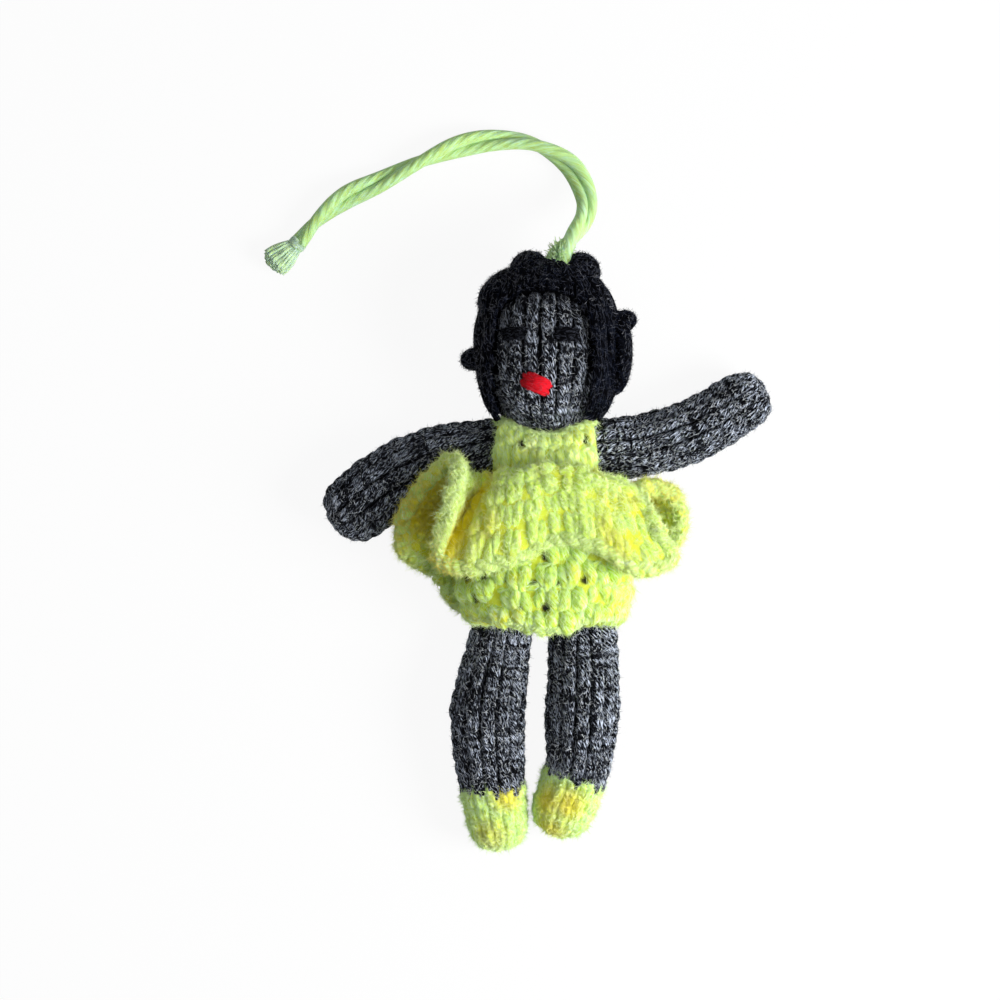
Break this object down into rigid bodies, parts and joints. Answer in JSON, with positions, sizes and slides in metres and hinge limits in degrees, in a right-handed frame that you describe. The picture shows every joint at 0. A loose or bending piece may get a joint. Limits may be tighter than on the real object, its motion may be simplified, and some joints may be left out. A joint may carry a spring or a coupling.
{
  "type": "knitted doll ornament",
  "caption": "Small stuffed knitted doll in a crocheted dress with a waist ruffle, with limbs and head that swing at their seams and a yarn hanger at the crown.",
  "frame": {"origin": "on the flat of the skirt's back, where the doll lies, on its middle line", "axes": "+Y to the head, +Z out of the face, +X to the right of someone looking down on the face"},
  "size_m": [0.1093, 0.1576, 0.0295],
  "materials": {
    "charcoal_knit": "fuzzy stockinette knit",
    "fibre_fill": "loose fibre fill",
    "sewing_yarn": "matte yarn",
    "black_hair_yarn": "fuzzy yarn",
    "black_eye_yarn": "matte embroidered yarn",
    "red_mouth_yarn": "matte embroidered yarn",
    "lemon_knit": "fuzzy stockinette knit",
    "lemon_crochet": "fuzzy single crochet",
    "lemon_hanger_yarn": "twisted yarn"
  },
  "bodies": {
    "torso": {"torso_cover": "charcoal_knit", "torso_stuffing": "fibre_fill", "neck_gather_thread": "sewing_yarn", "left_shoulder_seam": "sewing_yarn", "right_shoulder_seam": "sewing_yarn", "left_hip_seam": "sewing_yarn", "right_hip_seam": "sewing_yarn", "dress_bodice": "lemon_crochet", "dress_skirt": "lemon_crochet", "dress_ruffle": "lemon_crochet"},
    "head": {"head_cover": "charcoal_knit", "head_stuffing": "fibre_fill", "left_eye": "black_eye_yarn", "right_eye": "black_eye_yarn", "mouth": "red_mouth_yarn", "hair_cap": "black_hair_yarn", "hair_side_left": "black_hair_yarn", "hair_side_right": "black_hair_yarn", "hair_top_left": "black_hair_yarn", "hair_top_right": "black_hair_yarn", "hair_curl_left": "black_hair_yarn", "hair_curl_right": "black_hair_yarn", "hanger_cord": "lemon_hanger_yarn", "hanger_knot": "lemon_hanger_yarn"},
    "left_arm": {"left_arm_cover": "charcoal_knit", "left_arm_stuffing": "fibre_fill"},
    "right_arm": {"right_arm_cover": "charcoal_knit", "right_arm_stuffing": "fibre_fill"},
    "left_leg": {"left_leg_cover": "charcoal_knit", "left_leg_stuffing": "fibre_fill", "left_shoe": "lemon_knit"},
    "right_leg": {"right_leg_cover": "charcoal_knit", "right_leg_stuffing": "fibre_fill", "right_shoe": "lemon_knit"}
  },
  "joints": [
    {"name": "neck_tilt", "type": "hinge", "parent": "torso", "child": "head", "pos_m": [0.0005, 0.0372, 0.015], "axis": [0, 0, 1], "range_deg": [-8, 8]},
    {"name": "left_shoulder", "type": "hinge", "parent": "torso", "child": "left_arm", "pos_m": [-0.0124, 0.0329, 0.008], "axis": [0, 0, -1], "range_deg": [-8, 40]},
    {"name": "right_shoulder", "type": "hinge", "parent": "torso", "child": "right_arm", "pos_m": [0.012, 0.0331, 0.008], "axis": [0, 0, 1], "range_deg": [-20, 12]},
    {"name": "left_hip", "type": "hinge", "parent": "torso", "child": "left_leg", "pos_m": [-0.0086, -0.0024, 0.0095], "axis": [-1, 0, 0], "range_deg": [0, 40]},
    {"name": "right_hip", "type": "hinge", "parent": "torso", "child": "right_leg", "pos_m": [0.0076, -0.0024, 0.0101], "axis": [-1, 0, 0], "range_deg": [0, 40]}
  ]
}
